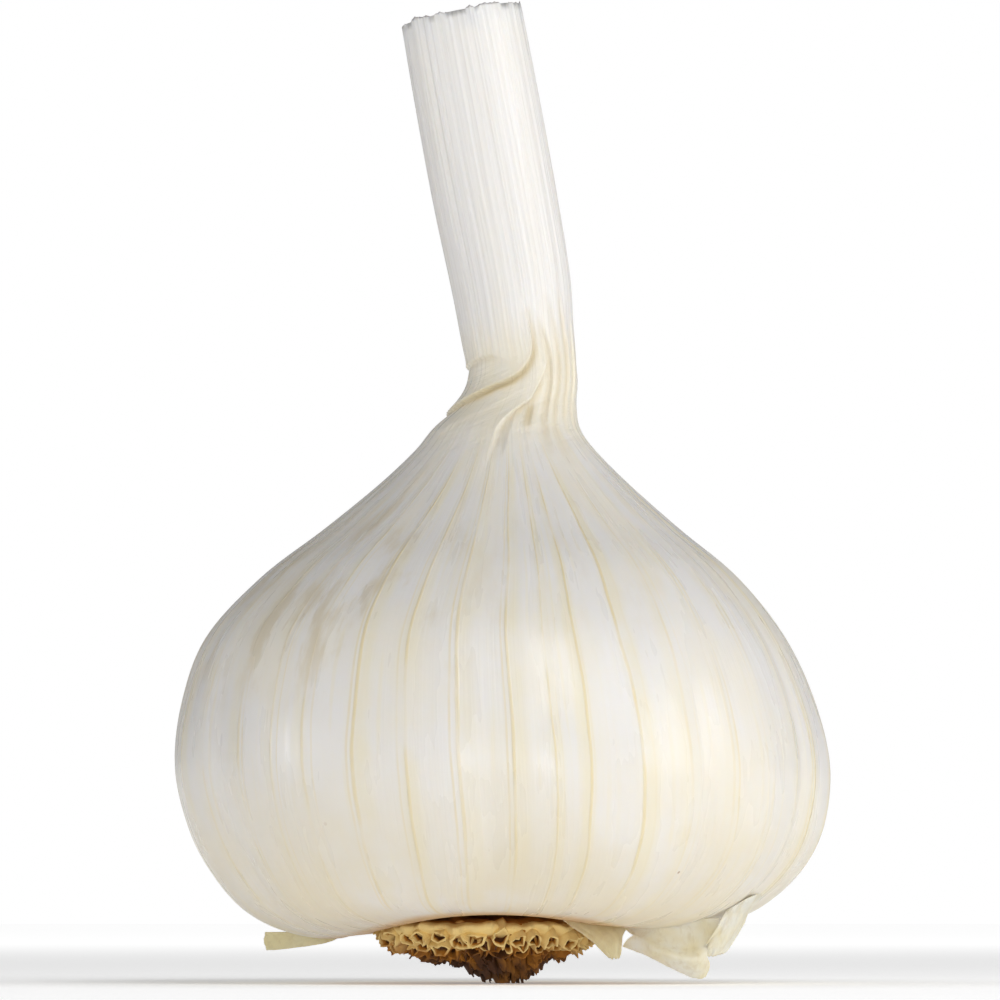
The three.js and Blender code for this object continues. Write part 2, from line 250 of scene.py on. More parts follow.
# folds where the sheaths twist at the foot of the neck. Paths: [degrees right of the front, height]. The
# last value of each fold is how much painted shade goes into the crease under its lip
folds = [
    {"path": [(-150, 50.9), (-95, 51.7), (-75, 52.3), (-57, 52.95), (-40, 53.6), (-27, 54.15), (-17, 54.45),
              (-8, 54.85), (1, 55.5), (7.5, 56.3), (12, 57.3), (13, 58.7), (10, 60.4)],
     "lip": 0.6, "lipFade": 1.8, "drop": 0.5, "dropFade": 0.7, "edge": 0.13, "creaseShade": 0.9},
    {"path": [(-9, 47.4), (-7, 48.9), (-4.5, 50.3), (1, 51.45), (8, 52.2), (14, 52.7), (17, 53.6),
              (21, 54.6), (28, 55.9)],
     "lip": 0.5, "lipFade": 0.8, "drop": 0.5, "dropFade": 0.45, "edge": 0.1, "creaseShade": 0.4},
    {"path": [(24, 59.5), (31, 57.0), (33, 54.0), (33, 50.5), (30, 48)],
     "lip": 0.2, "lipFade": 0.4, "drop": 0.18, "dropFade": 0.35, "edge": 0.12, "creaseShade": 0.5},
    {"path": [(36, 61.5), (43, 58.0), (44, 54.0), (43, 50.0), (40, 47)],
     "lip": 0.16, "lipFade": 0.4, "drop": 0.16, "dropFade": 0.35, "edge": 0.12, "creaseShade": 0.4},
    {"path": [(52, 62), (56, 58.5), (57, 54.0), (55, 50.0)],
     "lip": 0.18, "lipFade": 0.4, "drop": 0.16, "dropFade": 0.35, "edge": 0.12, "creaseShade": 0.45},
    {"path": [(70, 60), (70, 56), (68, 51.5), (66, 48.5)],
     "lip": 0.15, "lipFade": 0.5, "drop": 0.13, "dropFade": 0.4, "edge": 0.15, "creaseShade": 0.3},
    {"path": [(-130, 56.2), (-95, 56.3), (-60, 56.9), (-35, 57.1), (-18, 56.6)],
     "lip": 0.2, "lipFade": 0.9, "drop": 0.24, "dropFade": 0.5, "edge": 0.2, "creaseShade": 0.25},
    {"path": [(-62, 48.9), (-48, 50.2), (-30, 51.3), (-14, 52.3), (2, 53.7)],
     "lip": 0.1, "lipFade": 0.9, "drop": 0.12, "dropFade": 0.7, "edge": 0.4, "creaseShade": 0.12},
    {"path": [(3, 51.35), (3, 50.3), (0, 48.6), (-3, 47.2)],
     "lip": 0.16, "lipFade": 0.3, "drop": 0.14, "dropFade": 0.3, "edge": 0.12, "creaseShade": 0.1},
    {"path": [(17, 52.4), (18.5, 51.4), (18, 50.0)],
     "lip": 0.05, "lipFade": 0.3, "drop": 0.22, "dropFade": 0.25, "edge": 0.1, "creaseShade": 0.8},
    {"path": [(190, 49.5), (150, 50.8), (120, 52.2), (95, 54.5)],
     "lip": 0.35, "lipFade": 1.2, "drop": 0.3, "dropFade": 0.8, "edge": 0.2, "creaseShade": 0.5},
]
foldRadius = 5.4

# deeper grooves down the neck: degrees right of the front, depth, width in degrees, lowest height
grooves = [
    (-62, 0.06, 3.0, 60), (-41, 0.12, 2.4, 66), (-33, 0.08, 2.0, 70), (-24, 0.06, 1.8, 62),
    (-9, 0.04, 2.0, 68), (6, 0.05, 2.2, 60), (22, 0.03, 2.0, 64), (37, 0.06, 2.4, 60),
    (55, 0.08, 2.6, 58), (76, 0.07, 3.0, 60), (104, 0.1, 3.0, 60), (131, 0.12, 3.5, 62),
    (158, 0.08, 3.0, 60), (187, 0.1, 3.0, 60), (214, 0.1, 3.0, 64), (243, 0.08, 3.0, 60),
]


def veinAngle(share):  # uneven spacing of the veins round the bulb
    turn = 2 * np.pi * share
    return (turn + 0.035 * np.sin(3 * turn + 1.3) + 0.022 * np.sin(7 * turn + 0.4)
            + 0.012 * np.sin(13 * turn + 2.0))


def cloveShape(angle, height, halfWidth):
    uneven = angle + 0.12 * np.sin(2 * angle + 1) + 0.08 * np.sin(3 * angle + 2.2)
    roundness = np.abs(np.cos(skin["cloves"] / 2 * uneven)) ** 0.7 - 0.6
    return roundness * skin["cloveSwell"] * hill(height, 8, 17) * smoothStep(halfWidth, 10, 17)


def veinShape(share, halfWidth):
    draws = random.Random(skin["seed"])
    strengths = np.array([draws.uniform(0.35, 1.25) for _ in range(skin["veins"])])
    phase = share * skin["veins"]
    away = np.abs((phase + 0.5) % 1 - 0.5)
    strength = strengths[np.round(phase).astype(int) % skin["veins"]]
    onBulb = smoothStep(halfWidth, 6, 12)
    ridge = skin["veinHeight"] * strength * hill(away, 0, 0.08) * onBulb
    sag = skin["stripSag"] * np.sin(np.pi * (phase % 1)) ** 2 * onBulb
    return ridge - sag


def pleatShape(share, degreesRight, height, halfWidth):
    turn = 2 * np.pi * share
    onNeck = 1 - smoothStep(halfWidth, 6.0, 13.0)
    uneven = 0.65 + 0.35 * np.sin(5 * turn + 0.7) * np.sin(11 * turn + 2)
    fine = np.cos(80 * turn + 1.4 * np.sin(3 * turn)) * uneven
    fine = fine + 0.4 * np.cos(53 * turn + 2) + 0.3 * np.cos(31 * turn + 0.6)
    twisted = 1 - 0.75 * hill(height, 53.5, 3.5) * (degreesRight < 25)
    total = skin["pleatDepth"] * fine * onNeck * twisted
    for middle, depth, width, lowest in grooves:
        below = smoothStep(height, lowest - 6, lowest + 6)
        total = total - depth * hillRound(degreesRight, middle, width) * below
    return total


def foldShape(degreesRight, height):
    shape = np.zeros_like(height)
    creaseShade = np.zeros_like(height)
    near = (height > 45) & (height < 65)
    around = degreesRight[near]
    up = height[near]
    for fold in folds:
        steps = np.linspace(0, len(fold["path"]) - 1, 40)
        pathAround = throughRows(fold["path"], steps, 0)
        pathUp = throughRows(fold["path"], steps, 1)
        toMm = math.radians(1) * foldRadius
        middle = pathAround.mean()
        across = ((around - middle + 540) % 360 - 180) * toMm
        pathAcross = (pathAround - middle) * toMm
        best = np.full(across.shape, 1e9)
        side = np.zeros_like(across)
        along = np.zeros_like(across)
        for i in range(len(steps) - 1):
            stepX = pathAcross[i + 1] - pathAcross[i]
            stepY = pathUp[i + 1] - pathUp[i]
            length = stepX ** 2 + stepY ** 2
            share = np.clip(((across - pathAcross[i]) * stepX + (up - pathUp[i]) * stepY) / length, 0, 1)
            offX = across - pathAcross[i] - share * stepX
            offY = up - pathUp[i] - share * stepY
            distance = np.hypot(offX, offY)
            closer = distance < best
            best = np.where(closer, distance, best)
            side = np.where(closer, np.sign(stepX * offY - stepY * offX), side)
            along = np.where(closer, (i + share) / (len(steps) - 1), along)
        signed = best * side
        ends = np.sin(np.pi * np.clip(along, 0.02, 0.98)) ** 0.5
        step = smoothStep(signed, -fold["edge"], fold["edge"])
        lip = fold["lip"] * np.exp(-np.maximum(0, signed) / fold["lipFade"])
        drop = fold["drop"] * np.exp(np.minimum(0, signed) / fold["dropFade"])
        shape[near] += ends * (step * lip - (1 - step) * drop)
        # painted shade in the crease just under each fold's lip
        creaseShade[near] = np.maximum(creaseShade[near], fold["creaseShade"] * ends * hill(signed, -0.2, 0.42))
    return shape, creaseShade


def skinSurface(share, place):  # points in mm, and the painted shade in the creases of the folds
    height = throughRows(skinRows, place, 0)
    halfWidth = throughRows(skinRows, place, 1)
    shift = throughRows(skinRows, place, 2)
    lean = np.radians(throughRows(skinRows, place, 3))
    angle = veinAngle(share)
    degreesRight = (np.degrees(angle) + 90 + 540) % 360 - 180
    folded, creaseShade = foldShape(degreesRight, height)
    radius = (halfWidth + cloveShape(angle, height, halfWidth) + veinShape(share, halfWidth)
              + pleatShape(share, degreesRight, height, halfWidth) + folded)
    archPlaces = np.clip(place, 0, len(skin["archShares"]) - 1)
    archShare = np.interp(archPlaces, np.arange(len(skin["archShares"])), skin["archShares"])
    lift = sum(archShare * rise * hillRound(np.degrees(angle), middle, spread)
               for rise, middle, spread in skin["arches"])
    toNeck = smoothStep(height, skin["neckFoot"] - 4, skin["neckFoot"] + 6)
    depth = 1 + (skin["neckDepth"] - 1) * toNeck
    across = radius * np.cos(angle)
    x = shift + across * np.cos(lean)
    y = radius * depth * np.sin(angle)
    z = height + across * np.sin(lean) + lift
    return np.stack([x, y, z], axis=-1), creaseShade


def cutSurface(share, radiusShare, above):
    last = len(skinRows) - 1
    edge, _ = skinSurface(share, np.full(share.shape, float(last)))
    height, _, shift, leanDegrees, _ = skinRows[last]
    lean = math.radians(leanDegrees)
    turn = 2 * np.pi * share
    middle = np.array([shift, 0, height])
    wave = 0.03 * np.sin(5 * turn + 9 * radiusShare) + 0.02 * np.sin(9 * turn + 23 * radiusShare)
    inside = smoothStep(1 - radiusShare, 0.0, 0.1)
    radiusShare = radiusShare + wave * inside * (0.3 + radiusShare)
    ragged = (0.04 * np.cos(80 * turn + 1.4 * np.sin(3 * turn)) + 0.14 * np.sin(5 * turn + 1)
              + 0.12 * np.sin(13 * turn + 2) + 0.1 * np.sin(23 * turn + 3 * radiusShare))
    up = np.array([-math.sin(lean), 0, math.cos(lean)])
    outward = (edge - middle) * radiusShare[:, None]
    return middle + outward + up * (above + ragged * (0.4 + 0.6 * radiusShare))[:, None]


def makeSkin():
    places = [0.0]
    for row, (_, _, _, _, rings) in enumerate(skinRows[:-1]):
        places += [row + (i + 1) / rings for i in range(rings)]
    places = np.array(places)
    bands = len(places) + len(cutRows) + 1
    bpy.ops.mesh.primitive_uv_sphere_add(segments=skin["columns"], ring_count=bands, radius=1)
    piece = bpy.context.object
    mesh = piece.data
    points = np.empty(len(mesh.vertices) * 3)
    mesh.vertices.foreach_get("co", points)
    points = points.reshape(-1, 3)
    turn = np.arctan2(points[:, 1], points[:, 0]) / (2 * np.pi)
    column = np.round(turn * skin["columns"]).astype(int) % skin["columns"]
    band = np.round((1 - np.arccos(np.clip(points[:, 2], -1, 1)) / np.pi) * bands).astype(int)
    share = column / skin["columns"]

    moved = np.zeros_like(points)
    # painted shade in the creases of the folds
    creaseShade = np.zeros(len(points))
    along = np.zeros(len(points))  # mm along the skin from the hollow, for the pattern
    cut = np.zeros(len(points))  # 1 on the cut end
    heights = throughRows(skinRows, places, 0)
    widths = throughRows(skinRows, places, 1)
    walked = np.concatenate([[0], np.cumsum(np.hypot(np.diff(heights), np.diff(widths)))])
    onSkin = (band > 0) & (band <= len(places))
    moved[onSkin], creaseShade[onSkin] = skinSurface(share[onSkin], places[band[onSkin] - 1])
    along[onSkin] = walked[band[onSkin] - 1]
    onCut = (band > len(places)) & (band < bands)
    row = band[onCut] - len(places) - 1
    cutShares = np.array([item[0] for item in cutRows])[row]
    cutHeights = np.array([item[1] for item in cutRows])[row]
    moved[onCut] = cutSurface(share[onCut], cutShares, cutHeights)
    along[onCut] = walked[-1] + (1 - cutShares) * 5.6
    # sheath ends that sit lower in the cut get a higher value, which darkens them as painted shade in the
    # gaps
    cut[onCut] = 0.25 + 0.75 * smoothStep(-cutHeights, 0.2, 1.2)
    bottom = band == 0
    top = band == bands
    moved[bottom] = (skinRows[0][2], 0, 6.5)
    moved[top] = (skinRows[-1][2], 0, skinRows[-1][0] - 1.0)
    along[top] = walked[-1] + 5.6
    cut[top] = 1
    moved[:, 2] += standHeight
    mesh.vertices.foreach_set("co", (moved * mm).ravel())

    # the pattern's map: turns round the bulb, and mm along the skin over 100
    loops = np.empty(len(mesh.loops), dtype=int)
    mesh.loops.foreach_get("vertex_index", loops)
    starts = np.empty(len(mesh.polygons), dtype=int)
    counts = np.empty(len(mesh.polygons), dtype=int)
    mesh.polygons.foreach_get("loop_start", starts)
    mesh.polygons.foreach_get("loop_total", counts)
    face = np.repeat(np.arange(len(starts)), counts)
    u = share[loops]
    highest = np.zeros(len(starts))
    np.maximum.at(highest, face, u)
    u = np.where((highest[face] > 0.75) & (u < 0.25), u + 1, u)
    pole = (band[loops] == 0) | (band[loops] == bands)
    u = np.where(pole, highest[face], u)
    uv = np.stack([u, along[loops] / 100], axis=-1)
    mesh.uv_layers[0].name = "UVMap"
    mesh.uv_layers[0].data.foreach_set("uv", uv.ravel().astype(np.float32))
    writeAttribute(mesh, "creaseShade", creaseShade)
    writeAttribute(mesh, "cut", cut)
    mesh.update()
    return piece


def makeSkinMaterial():
    material, tree, shader = startMaterial("drySkin")
    turns, along = uvOf(tree)
    objectVector, place = objectPlace(tree)
    height = calc(tree, "MULTIPLY", place[2], 1000)  # mm
    angle = calc(tree, "MULTIPLY", turns, 2 * math.pi)
    cosine = calc(tree, "COSINE", angle)
    sine = calc(tree, "SINE", angle)

    def roundVector(radius, alongScale):
        return vectorOf(tree, calc(tree, "MULTIPLY", cosine, radius), calc(tree, "MULTIPLY", sine, radius),
                        calc(tree, "MULTIPLY", along, alongScale))

    # veins: a thin golden line with a cream band to one side, strong on some and faint on others
    sway = calc(tree, "MULTIPLY", calc(tree, "SUBTRACT", noiseAt(tree, roundVector(4, 6), 1.2), 0.5), 0.22)
    phase = calc(tree, "ADD", calc(tree, "MULTIPLY", turns, float(skin["veins"])), sway)
    number = calc(tree, "ROUND", phase)
    beside = calc(tree, "SUBTRACT", phase, number)
    away = calc(tree, "ABSOLUTE", beside)

    def ownValue(offset):
        own = tree.nodes.new("ShaderNodeTexWhiteNoise")
        own.noise_dimensions = "1D"
        wrapped = calc(tree, "WRAP", number, float(skin["veins"]), 0.0)
        plug(tree, calc(tree, "ADD", wrapped, offset), own.inputs["W"])
        return own.outputs["Value"]

    ownStrength = remap(tree, ownValue(0.5), 0, 1, 0.3, 1.0)
    patchy = remap(tree, noiseAt(tree, roundVector(7, 12), 1.0, 3), 0.32, 0.6, 0.15, 1.0)
    strength = calc(tree, "MULTIPLY", ownStrength, patchy)
    onBulb = remap(tree, height, 52, 44)
    line = calc(tree, "MULTIPLY", remap(tree, away, 0.05, 0.012), strength)
    twinMiddle = remap(tree, ownValue(7.5), 0, 1, -0.22, 0.22)
    twin = calc(tree, "ABSOLUTE", calc(tree, "SUBTRACT", beside, twinMiddle))
    twinStrength = calc(tree, "MULTIPLY", patchy, ownValue(3.5))
    twinLine = calc(tree, "MULTIPLY", remap(tree, twin, 0.035, 0.008), twinStrength)
    bandMiddle = remap(tree, ownValue(11.5), 0, 1, -0.16, 0.16)
    fromBand = calc(tree, "ABSOLUTE", calc(tree, "SUBTRACT", beside, bandMiddle))
    border = calc(tree, "MULTIPLY", remap(tree, fromBand, 0.3, 0.02), strength)

    # finer lines and fibres between them
    finePhase = calc(tree, "ADD", calc(tree, "MULTIPLY", turns, 131.0), calc(tree, "MULTIPLY", sway, 3.0))
    fineAway = calc(tree, "ABSOLUTE", calc(tree, "SUBTRACT", finePhase, calc(tree, "ROUND", finePhase)))
    finePatch = remap(tree, noiseAt(tree, roundVector(16, 9), 1.0, 2), 0.5, 0.66)
    fineLine = calc(tree, "MULTIPLY", remap(tree, fineAway, 0.22, 0.05), finePatch)
    fibres = noiseAt(tree, roundVector(60, 3.5), 1.0, 3, 0.6)
    fineFibres = noiseAt(tree, roundVector(150, 7), 1.0, 2, 0.6)
    neckFibres = noiseAt(tree, roundVector(34, 2.5), 1.0, 3, 0.6)
    mottle = noiseAt(tree, objectVector, 90, 4, 0.55)
    blotch = noiseAt(tree, roundVector(3.5, 7), 1.0, 3, 0.5)

    white = (0.795, 0.775, 0.75)
    cream = (0.80, 0.74, 0.57)
    gold = (0.75, 0.63, 0.36)
    colour = blendColours(tree, remap(tree, blotch, 0.42, 0.66, 0.0, 0.75), white, (0.81, 0.765, 0.665))
    colour = blendColours(tree, remap(tree, fibres, 0.45, 0.75, 0.0, 0.16), colour, cream)
    for lines, amount, tint in ((fineLine, 0.35, cream), (border, 0.75, cream), (twinLine, 0.5, gold),
                                (line, 0.72, gold)):
        share = calc(tree, "MULTIPLY", lines, calc(tree, "MULTIPLY", onBulb, amount))
        colour = blendColours(tree, share, colour, tint)
    low = calc(tree, "MULTIPLY", remap(tree, height, 25, 6), remap(tree, mottle, 0.3, 0.65, 0.3, 1.0))
    colour = blendColours(tree, calc(tree, "MULTIPLY", low, 0.6), colour, (0.75, 0.655, 0.44))
    # tan patches on the upper shoulder, stronger on the left: partly the skin's own tan, partly painted
    # shade on the side the lights reach least
    shoulder = calc(tree, "MULTIPLY", remap(tree, height, 22, 32), remap(tree, height, 50, 42))
    shoulder = calc(tree, "MULTIPLY", shoulder, remap(tree, place[0], 0.002, -0.012, 0.12, 0.6))
    tanPatchAndShade = remap(tree, noiseAt(tree, roundVector(8, 11), 1.0, 4, 0.62), 0.48, 0.66)
    tanPatchAndShade = calc(tree, "MULTIPLY", tanPatchAndShade, shoulder)
    colour = blendColours(tree, tanPatchAndShade, colour, (0.64, 0.55, 0.39))
    atFold = calc(tree, "MULTIPLY", remap(tree, height, 47, 53), remap(tree, height, 62, 57))
    colour = blendColours(tree, calc(tree, "MULTIPLY", atFold, 0.45), colour, (0.80, 0.73, 0.54))
    upNeck = calc(tree, "MULTIPLY", remap(tree, height, 57, 66), 0.7)
    colour = blendColours(tree, upNeck, colour, (0.78, 0.765, 0.745))
    rib = calc(tree, "MULTIPLY", remap(tree, neckFibres, 0.5, 0.72), remap(tree, height, 54, 62))
    colour = blendColours(tree, calc(tree, "MULTIPLY", rib, 0.4), colour, (0.62, 0.575, 0.56))
    # painted shade in the fold creases, in a tan tint
    creaseShade = calc(tree, "MULTIPLY", attributeOf(tree, "creaseShade"), 0.85)
    colour = blendColours(tree, creaseShade, colour, (0.56, 0.44, 0.21))
    inFront = calc(tree, "MULTIPLY", remap(tree, calc(tree, "ABSOLUTE", place[0]), 0.015, 0.006),
                   remap(tree, place[1], -0.004, -0.012))  # the skin turns in further up there
    edge = calc(tree, "ADD", along, calc(tree, "MULTIPLY", calc(tree, "SUBTRACT", mottle, 0.5), 0.02))
    edge = calc(tree, "SUBTRACT", edge, calc(tree, "MULTIPLY", inFront, 0.03))
    colour = blendColours(tree, remap(tree, edge, 0.132, 0.104), colour, (0.62, 0.40, 0.16))
    colour = blendColours(tree, remap(tree, edge, 0.112, 0.08), colour, (0.52, 0.27, 0.07))
    specks = tree.nodes.new("ShaderNodeTexVoronoi")
    plug(tree, objectVector, specks.inputs["Vector"])
    specks.inputs["Scale"].default_value = 170
    speck = remap(tree, specks.outputs["Distance"], 0.04, 0.025)
    speck = calc(tree, "MULTIPLY", speck, remap(tree, height, 16, 11))
    colour = blendColours(tree, calc(tree, "MULTIPLY", speck, 0.7), colour, (0.30, 0.16, 0.07))
    cut = attributeOf(tree, "cut")
    colour = blendColours(tree, remap(tree, cut, 0.05, 0.3, 0, 0.8), colour, (0.52, 0.46, 0.47))
    # painted shade: the lower sheath ends and the middle of the cut darken to brown, in the gaps between
    # the sheaths
    colour = blendColours(tree, remap(tree, cut, 0.4, 1.0), colour, (0.27, 0.20, 0.13))
    plug(tree, colour, shader.inputs["Base Color"])

    sheen = noiseAt(tree, roundVector(12, 8), 1.0, 3)
    plug(tree, remap(tree, sheen, 0.35, 0.65, 0.23, 0.43), shader.inputs["Roughness"])
    shader.inputs["Specular IOR Level"].default_value = 0.5
    shader.inputs["Subsurface Weight"].default_value = 0.25
    shader.inputs["Subsurface Radius"].default_value = (1.0, 0.8, 0.55)
    shader.inputs["Subsurface Scale"].default_value = 0.0015
    shader.inputs["Sheen Weight"].default_value = 0.08
    shader.inputs["Sheen Roughness"].default_value = 0.5

    onNeck = remap(tree, height, 46, 54)
    ribs = blendColours(tree, onNeck, fibres, neckFibres)
    swell = calc(tree, "MULTIPLY", noiseAt(tree, roundVector(9, 5), 1.0, 0), remap(tree, height, 50, 36))
    normal = bumpOn(tree, swell, 0.0005, 0.35)
    normal = bumpOn(tree, ribs, 0.00008, 0.35, normal)
    normal = bumpOn(tree, fineFibres, 0.00002, 0.3, normal)
    normal = bumpOn(tree, calc(tree, "MULTIPLY", line, onBulb), 0.00006, 0.6, normal)
    rising = calc(tree, "SUBTRACT", place[2], calc(tree, "MULTIPLY", place[0], 0.4))
    creases = noiseAt(tree, vectorOf(tree, calc(tree, "MULTIPLY", place[0], 160),
                                     calc(tree, "MULTIPLY", place[1], 160),
                                     calc(tree, "MULTIPLY", rising, 900)), 1.0, 3, 0.6)
    creases = calc(tree, "MULTIPLY", creases, remap(tree, height, 46.5, 50))  # where the sheaths twist
    creases = calc(tree, "MULTIPLY", creases, remap(tree, height, 60, 56))
    normal = bumpOn(tree, creases, 0.0004, 0.5, normal)
    crinkle = noiseAt(tree, objectVector, 420, 3, 0.55)
    normal = bumpOn(tree, crinkle, 0.00008, 0.25, normal)
    plug(tree, normal, shader.inputs["Normal"])
    return material


deselectAll()
bulbSkin = makeSkin()
finishPiece(bulbSkin, "bulbSkin", "bulb_and_neck", makeSkinMaterial())
print("skin made")


# the root plate with its trimmed roots

# [share of the plate's radius, height, tone from dark 0 to cream 1], from below
plateRows = [
    (0.0, 2.3, 0.1), (0.3, 2.4, 0.15), (0.55, 2.75, 0.2), (0.78, 3.25, 0.35), (0.92, 3.6, 0.6),
    (1.0, 4.15, 0.9), (1.01, 4.55, 1.05), (0.97, 4.8, 1.0), (0.9, 4.95, 0.35), (0.72, 5.4, 0.12),
    (0.5, 5.85, 0.12), (0.0, 6.4, 0.1),
]

roots = {
    "centre": -1.2,
    "radius": 10.1,
    "rows": ((0.94, 34, 3.25), (0.81, 29, 2.6), (0.66, 22, 2.05), (0.49, 15, 1.6), (0.3, 9, 1.25)),
    "tuftX": 0.4,
    "tuftCount": 46,
    "fibres": 150,
    "seed": 5,
}


def plateHeight(share):
    lower = plateRows[:6]
    return np.interp(share, [row[0] for row in lower], [row[1] for row in lower])


def makePlate():
    columns = 132
    bands = 70
    bpy.ops.mesh.primitive_uv_sphere_add(segments=columns, ring_count=bands, radius=1)
    piece = bpy.context.object
    mesh = piece.data
    points = np.empty(len(mesh.vertices) * 3)
    mesh.vertices.foreach_get("co", points)
    points = points.reshape(-1, 3)
    turn = np.arctan2(points[:, 1], points[:, 0])
    place = (1 - np.arccos(np.clip(points[:, 2], -1, 1)) / np.pi) * (len(plateRows) - 1)
    share = np.clip(throughRows(plateRows, place, 0), 0, None)
    height = throughRows(plateRows, place, 1)
    tone = throughRows(plateRows, place, 2)
    atRim = hill(share, 1.0, 0.12)
    broken = (1 + 0.03 * np.sin(3 * turn + 1) + 0.02 * np.sin(8 * turn + 2)
              + atRim * (0.02 * np.sin(23 * turn) + 0.02 * np.sin(37 * turn + 1)))
    radius = roots["radius"] * share * broken
    lumps = 0.16 * np.sin(2.3 * points[:, 0] * 10) * np.sin(2.1 * points[:, 1] * 10)
    moved = np.stack([
        roots["centre"] + radius * np.cos(turn),
        radius * np.sin(turn),
        height + lumps * (1 - atRim) + atRim * (0.12 * np.sin(11 * turn) + 0.1 * np.sin(29 * turn + 2))
        + standHeight,
    ], axis=-1)
    mesh.vertices.foreach_set("co", (moved * mm).ravel())
    writeAttribute(mesh, "tone", np.clip(tone, 0, 1))
    mesh.update()
    return piece


def makeSocket():  # one cut root: a tube with a hollow end, 1 mm across and 1 mm long, pointing down
    bpy.ops.mesh.primitive_cylinder_add(vertices=16, radius=0.5, depth=1, location=(0, 0, -0.5),
                                        end_fill_type="NGON")
    piece = bpy.context.object
    bpy.ops.object.transform_apply(location=True, rotation=True, scale=True)
    bpy.ops.object.mode_set(mode="EDIT")
    bpy.ops.mesh.select_all(action="DESELECT")
    bpy.ops.object.mode_set(mode="OBJECT")
    for polygon in piece.data.polygons:
        polygon.select = polygon.normal.z < -0.9
    bpy.ops.object.mode_set(mode="EDIT")
    bpy.ops.mesh.select_mode(type="FACE")
    bpy.ops.mesh.inset(thickness=0.1)
    bpy.ops.mesh.inset(thickness=0.05)
    bpy.ops.transform.translate(value=(0, 0, 0.55))
    bpy.ops.mesh.inset(thickness=0.12)
    bpy.ops.transform.translate(value=(0, 0, 0.12))
    bpy.ops.object.mode_set(mode="OBJECT")
    tones = []
    for vertex in piece.data.vertices:
        distance = math.hypot(vertex.co.x, vertex.co.y)
        inside = vertex.co.z > -0.7 and distance < 0.45
        # inside the hollow end the tone goes below zero: painted shade in the hollow
        tones.append(-0.45 if inside else 1.0 if vertex.co.z < -0.9 else 0.36)
    writeAttribute(piece.data, "tone", tones)
    return piece


def copyOf(model, name):
    twin = model.copy()
    twin.data = model.data.copy()
    twin.name = name
    bpy.context.scene.collection.objects.link(twin)
    return twin


def placeRoot(model, start, end, width, draws, tone, rough=0.05):
    twin = copyOf(model, "root")
    axis = end - start
    turn = Vector((0, 0, -1)).rotation_difference(axis.normalized()).to_matrix()
    spin = draws.uniform(0, 2 * math.pi)
    squash = draws.uniform(0.7, 1.2)
    phases = [draws.uniform(0, 2 * math.pi) for _ in range(4)]
    for vertex in twin.data.vertices:
        x, y, z = vertex.co
        around = math.atan2(y, x)
        if z < -0.9:  # torn end
            z += 0.12 * math.sin(2 * around + phases[0]) + 0.06 * math.sin(5 * around + phases[1])
        uneven = 0.14 * math.sin(2 * around + phases[2]) + 0.09 * math.sin(5 * around + phases[3])
        wide = width * (1.2 + 0.25 * z) * (1 + uneven)
        local = Vector((
            (x * math.cos(spin) - y * math.sin(spin)) * wide * squash,
            (x * math.sin(spin) + y * math.cos(spin)) * wide,
            z * axis.length,
        ))
        local += Vector([draws.uniform(-rough, rough) for _ in range(3)])
        vertex.co = (turn @ local + start + Vector((0, 0, standHeight))) * mm
    tones = twin.data.attributes["tone"].data
    for item in tones:
        item.value *= tone
    return twin


def makeFibre():  # a thin root end, 1 mm long, pointing down
    bpy.ops.mesh.primitive_cone_add(vertices=5, radius1=0.2, radius2=0.5, depth=1, location=(0, 0, -0.5))
    piece = bpy.context.object
    bpy.ops.object.transform_apply(location=True, rotation=True, scale=True)
    bpy.ops.object.mode_set(mode="EDIT")
    bpy.ops.mesh.select_all(action="SELECT")
    bpy.ops.mesh.subdivide(number_cuts=1)
    bpy.ops.object.mode_set(mode="OBJECT")
    writeAttribute(piece.data, "tone", [0.35] * len(piece.data.vertices))
    return piece


